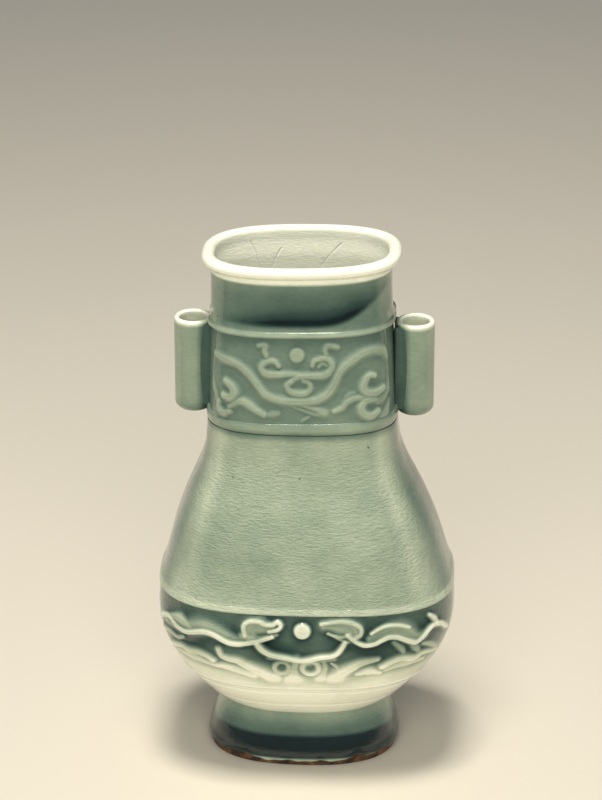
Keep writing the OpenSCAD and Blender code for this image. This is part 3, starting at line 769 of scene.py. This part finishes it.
def collar_pool_and_reflection(outer):
    """Thick glaze with a painted reflection in it, which hangs to a sharp edge low on each broad side, and
    climbs at one corner.
    """
    x, z = outer[..., 0] * -np.sign(outer[..., 1]), outer[..., 2]
    hang = POOL_AND_REFLECTION_Z + POOL_AND_REFLECTION_CLIMB * np.clip((x - 8) / 36, 0, 1) ** 2.2
    pool = ramp(z, hang - 1.6, hang + 2.4) * np.exp(-np.clip(z - hang - 2.4, 0, None) / 6.5)
    return pool * ramp(x, -48, -8) * (1 - 0.7 * ramp(x, 24, 40)) * facing_front(outer, 0.92, 1)


def collar():
    """The plain collar, pooled dark outside with a painted reflection, with cracks in the glaze inside."""
    turn = around(COLLAR_COLUMNS)
    outer = surface(MOUTH, rows_of(COLLAR_Z, LIP_Z, 0.6), turn)
    z = np.concatenate([rows_of(LIP_Z, CRACKS_Z, 0.35), rows_of(CRACKS_Z - 1, COLLAR_Z, 1.4)])
    inner = surface(MOUTH, z, turn, LIP_THINNING * ramp(z, 256, LIP_Z) - along(WALL, z))
    depth = crack_depth(inner)
    inner = inner + depth[..., None] * np.array([0, 1, 0])
    ends = COLLAR_END_TONE * (1 - facing_front(outer, 0.8, 0.98))
    tone = along(GLAZE_AND_PAINTED_LIGHT, outer[..., 2]) - POOL_AND_REFLECTION_TONE * collar_pool_and_reflection(outer) + ends
    # Inside, the glaze is paler near the lip and darker lower down: painted light and shade in the mouth.
    tone_in = 0.6 + 0.8 * ramp(z, 240, 254) - CRACK_TONE * depth
    grid = (handmade(np.concatenate([outer, inner])), np.concatenate([tone, tone_in]), True)
    piece("collar", ["mouth_collar"], "green_glaze", [grid])


def moulding(name, node, line, low, high, proud, slot, keep=None, bed=0.6, lift=0.0, crease=0.25):
    """A round-faced moulding that is let into the wall.

    keep fades it out where it would meet a lug, bed is how deep it sits in the wall, lift lightens its crest,
    and crease sinks its two edges."""
    turn = around()
    face = np.linspace(-math.pi / 2, math.pi / 2, 17)[:, None]
    crest = np.cos(face)
    z = (low + high) / 2 + (high - low) / 2 * np.sin(face)
    kept = keep(surface(line, z, turn)) if keep else 1.0
    outer = surface(line, z, turn, proud * crest * kept - crease * (1 - np.sqrt(crest)))
    inner = surface(line, np.array([[high], [low]]), turn, -bed)
    tone = np.broadcast_to(along(GLAZE_AND_PAINTED_LIGHT, z) + lift * crest**2, outer.shape[:2])
    grid = (handmade(np.concatenate([outer, inner])), np.concatenate([tone, tone[[-1, 0]]]), True)
    piece(name, [node], slot, [grid])


def beside_lugs(points):
    """0 behind the lugs, and 1 clear of them."""
    return ramp(np.abs(points[..., 1]), 5.5, 9.5)


# The rolled rim is this thick, and stands out more at the ends of the mouth than at the broad sides.
RIM_THICK = 2.8
END_FLARE = 1.3
# The foot of the rim, let into the wall: places out from the collar and up from the lip.
RIM_FOOT = np.array([(-2.28, 1.4), (-2.3, -0.3), (-0.6, -0.3)])


def mouth_rim():
    """The rolled rim: a bead whose inner side runs down into the wall."""
    turn = around()
    tall = (TOP_Z - LIP_Z) / 2
    face = np.radians(np.linspace(-80, 180, 36))
    roll_out = RIM_A - COLLAR_A - RIM_THICK + RIM_THICK * np.cos(face)
    roll_z = LIP_Z + tall + tall * np.sin(face)
    out = np.concatenate([roll_out, RIM_FOOT[:, 0]])[:, None]
    z = np.concatenate([roll_z, LIP_Z + RIM_FOOT[:, 1]])[:, None]
    a = COLLAR_A + np.where(out > 0, END_FLARE, 1) * out
    b = COLLAR_A * along(RATIO, LIP_Z) + out
    points = section(a, b, along(SQUARE, LIP_Z), z, turn)
    piece("mouth_rim", ["mouth_rim"], "thin_glaze", [(handmade(points), 1.0, True)])


foot_ring()
base_disc()
bowl()
shoulder()
wall("neck", "neck_collar", NECK, rows_of(NECK_Z, COLLAR_Z, 1.2), -PANEL_T * 0.6)
collar()
mouth_rim()
moulding("lower_neck_ridge", "neck_ridge_lower", NECK, low=NECK_Z + 0.3, high=PANEL_Z, proud=0.8,
         slot="green_glaze", keep=beside_lugs, bed=PANEL_T, lift=0.1, crease=0.12)
moulding("upper_neck_ridge", "neck_ridge_upper", MOUTH, low=COLLAR_Z + 0.1, high=COLLAR_Z + 3.2, proud=0.9,
         slot="thin_glaze", keep=beside_lugs, lift=0.1)
moulding("belly_ridge", "belly_ridge", SHOULDER, low=RIDGE_Z + 0.4, high=RIDGE_Z + 3.8, proud=0.35,
         slot="thin_glaze")
moulding("bowl_ridge", "bowl_ridge", BOWL, low=BAND_Z - 2.8, high=BAND_Z - 0.2, proud=0.5, slot="thin_glaze")
moulding("lip_bead", "lip_bead", MOUTH, low=LIP_Z - 3.4, high=LIP_Z - 0.2, proud=1.1, slot="thin_glaze")


# The moulded panels -------------------------------------------------------------------------------------

# Half the turn of a neck panel and of a belly band in degrees, the points and the step of their grids, and
# how strongly their relief moves the tone.
NECK_TURN, BELLY_TURN = 67.5, 90
NECK_COLUMNS, BELLY_COLUMNS = 451, 601
NECK_STEP, BELLY_STEP = 0.32, 0.36
NECK_CONTRAST, BELLY_CONTRAST = 0.46, 1.15
# How far the ends of a neck panel sink, as a share of its thickness, and the soft swell of the belly band.
END_SINK = 0.55
SWELL = 0.35


def neck_ground(points):
    """The neck panel carries a pearl, and sinks to the wall at both ends."""
    turn = np.degrees(np.arctan2(points[..., 1], points[..., 0])) + 90
    ends = ramp(np.abs(turn), NECK_TURN - 2.5, NECK_TURN)
    return boss(points, NECK, *NECK_PEARL) - END_SINK * PANEL_T * ends


def belly_ground(points):
    """The belly band carries a pearl, and swells softly under the scrolls."""
    x, z = points[..., 0], points[..., 2]
    swell = SWELL * np.sin(x / 7.5) * np.exp(-((z - 73) / 9) ** 2)
    swell = swell * ramp(z, 54, 60) * (1 - ramp(z, 88, 93)) * (1 - ramp(np.abs(x), 45, 66))
    return boss(points, BOWL, *BELLY_PEARL) + swell


def front_turns(half, count):
    """A row of turn angles, half degrees to each side of the middle of the front."""
    return FRONT + np.radians(np.linspace(-half, half, count))[None, :]


def moulded_panels(face):
    """The neck panel and the belly band of one face. The front ones replace the pearls of both faces."""
    back = face == "back"
    turn = front_turns(NECK_TURN, NECK_COLUMNS)
    nodes = [f"neck_{kind}_{face}" for kind in ("panel", "scrolls")]
    nodes += [] if back else ["neck_pearls"]
    z = rows_of(PANEL_Z, COLLAR_Z, NECK_STEP)
    relief_panel(f"neck_panel_{face}", nodes, NECK, z, turn, NECK_STROKES, neck_ground,
                 NECK_CONTRAST, back)
    turn = front_turns(BELLY_TURN, BELLY_COLUMNS)
    nodes = [f"belly_{kind}_{face}" for kind in ("panel", "scrolls", "clouds")]
    nodes += [] if back else ["belly_pearls"]
    z = rows_of(BAND_Z, RIDGE_Z, BELLY_STEP)
    relief_panel(f"belly_panel_{face}", nodes, BOWL, z, turn, BELLY_STROKES, belly_ground,
                 BELLY_CONTRAST, back)


moulded_panels("front")
moulded_panels("back")


# The lugs -----------------------------------------------------------------------------------------------

# The radii of a lug's rounded rim and of its softer foot, and how much painted shade darkens it towards the
# neck.
LUG_RIM, LUG_FOOT = 1.35, 4.2
LUG_SHADE = 0.7
FILLET_TONE = -0.55


def lug(name, node, hand):
    """An open tube with soft ends. hand is 1 for the right one and -1 for the left one."""
    bend = np.linspace(0, math.pi / 2, 9)
    rim_r, rim_z = (LUG_R + LUG_BORE_R) / 2, LUG_HIGH - LUG_RIM
    foot_r, foot_z = LUG_R - LUG_FOOT, LUG_LOW + LUG_FOOT
    outline = np.concatenate([
        np.column_stack([foot_r + LUG_FOOT * np.sin(bend), foot_z - LUG_FOOT * np.cos(bend)]),
        np.column_stack([np.full(40, LUG_R), np.linspace(LUG_LOW + 5, LUG_HIGH - 3, 40)]),
        np.column_stack([rim_r + LUG_RIM * np.cos(bend), rim_z + LUG_RIM * np.sin(bend)]),
        np.column_stack([rim_r - LUG_RIM * np.sin(bend[1:]), rim_z + LUG_RIM * np.cos(bend[1:])]),
        np.column_stack([np.full(30, LUG_BORE_R), np.linspace(LUG_HIGH - 3, LUG_LOW + 0.4, 30)])])
    turn = around(LUG_COLUMNS)
    r, z = outline[:, :1], outline[:, 1:]
    x, y = hand * LUG_X + r * np.cos(turn), r * np.sin(turn)
    # A lug is paler at its rim, where the glaze thins, darker at its foot with pooled glaze and painted
    # shade, and darker towards the neck with painted shade.
    tone = ramp(z, LUG_HIGH - 3.2, LUG_HIGH - 0.6) - 0.2 * (1 - ramp(z, LUG_LOW + 1, LUG_LOW + 9))
    tone = np.where(r < LUG_BORE_R + 0.01, tone + 0.6, tone)
    toward_neck = ramp(-hand * np.cos(turn), 0.15, 0.8) * (r > LUG_BORE_R + 1)
    grid = (np.stack([x, y, np.broadcast_to(z, x.shape)], -1), tone - LUG_SHADE * toward_neck, True)
    piece(name, [node], "thin_glaze", [grid])


def fillet_loop(size):
    """One level section of a fillet, for a size from 0 to 1: a hollow bend from the neck to the lug."""
    neck_end = np.array([NECK_A - 1.6, 6.2 + 4.6 * size])
    lug_x = LUG_X - LUG_R + 2.2 + 3.4 * size
    lug_end = np.array([lug_x, math.sqrt(LUG_R**2 - (LUG_X - lug_x) ** 2) + 0.02])
    corner = np.array([NECK_A - 0.2, 6.6])
    t = np.linspace(0, 1, 11)[:, None]
    bend = (1 - t) ** 2 * neck_end + 2 * t * (1 - t) * corner + t**2 * lug_end
    return np.concatenate([bend, [[LUG_X - LUG_R + 1.6, 4.5], [NECK_A - 2.6, 6.0]]])


def lug_fillets(name, node, hand):
    """The slip in the corner between a lug and the neck, on both sides of the lug."""
    z = rows_of(LUG_LOW + 4, LUG_HIGH - 2, 1.2)[:, 0]
    size = np.sin(np.linspace(0.12, math.pi - 0.12, len(z))) ** 0.4
    loops = np.array([[(x, y, height) for x, y in fillet_loop(s)] for s, height in zip(size, z)])
    grids = []
    for face in (-1, 1):
        grid = (loops * np.array([hand, face, 1])).transpose(1, 0, 2)
        grids.append((grid[::-1] if hand * face < 0 else grid, FILLET_TONE, False))
    piece(name, [node], "green_glaze", grids)


lug("left_lug", "left_lug", -1)
lug("right_lug", "right_lug", 1)
lug_fillets("left_lug_fillets", "left_lug_fillet", -1)
lug_fillets("right_lug_fillets", "right_lug_fillet", 1)


# Floor, light and camera, in metres ---------------------------------------------------------------------

FLOOR_COLOUR = (0.74, 0.68, 0.57)
CLOTH_COLOUR = (0.006, 0.012, 0.016)
WALL_COLOUR = (0.01, 0.02, 0.04)


def floor():
    """A plain pale floor."""
    bpy.ops.mesh.primitive_plane_add(size=30)
    plane = bpy.context.object
    plane.name = "floor"
    n = Nodes("floor")
    shader = n.add("ShaderNodeBsdfDiffuse", {"Color": (*FLOOR_COLOUR, 1)})
    plane.data.materials.append(n.finished(shader.outputs[0]))


def mirrored_card(name, place, size, upright, colour):
    """A dark card round the vase, seen only in the reflections of the glaze."""
    bpy.ops.mesh.primitive_plane_add(size=1, location=place, rotation=(math.pi / 2 if upright else 0, 0, 0))
    card = bpy.context.object
    card.name = name
    card.scale = (*size, 1)
    n = Nodes(name)
    shader = n.add("ShaderNodeBsdfPrincipled", {"Base Color": (*colour, 1), "Roughness": 1.0})
    card.data.materials.append(n.finished(shader.outputs[0]))
    card.visible_camera = card.visible_diffuse = card.visible_shadow = False


def panel_light(name, place, aim, size, power, colour, mirrored):
    """A soft rectangular lamp that the camera doesn't see. mirrored lets the glaze reflect it."""
    light = bpy.data.lights.new(name, "AREA")
    light.shape = "RECTANGLE"
    light.size, light.size_y = size
    light.energy = power
    light.color = colour
    lamp = bpy.data.objects.new(name, light)
    lamp.location = place
    lamp.rotation_euler = (Vector(aim) - Vector(place)).to_track_quat("-Z", "Y").to_euler()
    lamp.visible_camera = False
    lamp.visible_glossy = mirrored
    bpy.context.scene.collection.objects.link(lamp)


def world(colour, strength):
    """Even light from all round."""
    made = bpy.data.worlds.new("studio")
    made.use_nodes = True
    background = made.node_tree.nodes["Background"]
    background.inputs[0].default_value = (*colour, 1)
    background.inputs[1].default_value = strength
    bpy.context.scene.world = made


def camera(turn, tilt, distance, height, shift, focal):
    """Looks at a point over the floor from turn degrees to the right and tilt degrees up.

    shift moves the picture's middle to the left of the vase's axis."""
    lens = bpy.data.cameras.new("camera")
    lens.lens = focal
    lens.clip_start, lens.clip_end = 0.01, 100
    eye = bpy.data.objects.new("camera", lens)
    turn, tilt = math.radians(turn), math.radians(tilt)
    back = Vector((math.sin(turn) * math.cos(tilt), -math.cos(turn) * math.cos(tilt), math.sin(tilt)))
    right = Vector((math.cos(turn), math.sin(turn), 0))
    eye.location = Vector((0, 0, height)) - right * shift + back * distance
    eye.rotation_euler = (-back).to_track_quat("-Z", "Y").to_euler()
    bpy.context.scene.collection.objects.link(eye)
    bpy.context.scene.camera = eye


floor()
mirrored_card("dark_cloth", (0, -1.36, 0.002), (6, 2.6), upright=False, colour=CLOTH_COLOUR)
mirrored_card("dark_wall", (0, 0.7, 0.72), (5, 1.1), upright=True, colour=WALL_COLOUR)
world(colour=(0.80, 0.88, 1.0), strength=0.22)
panel_light("overhead", place=(-0.05, -0.14, 1.4), aim=(0, 0, 0.1), size=(0.34, 0.34), power=16,
            colour=(1, 0.96, 0.87), mirrored=True)
panel_light("front", place=(0.0, -1.3, 1.15), aim=(0, 0, 0.15), size=(1.2, 0.7), power=10.5,
            colour=(1, 0.97, 0.9), mirrored=False)
panel_light("low_front", place=(0.0, -1.6, 0.26), aim=(0, 0, 0.1), size=(1.3, 0.4), power=6,
            colour=(1, 0.98, 0.9), mirrored=False)
camera(turn=3, tilt=23.9, distance=1.6665, height=0.1896, shift=0.00165, focal=150)
bpy.context.scene.view_settings.view_transform = "Standard"
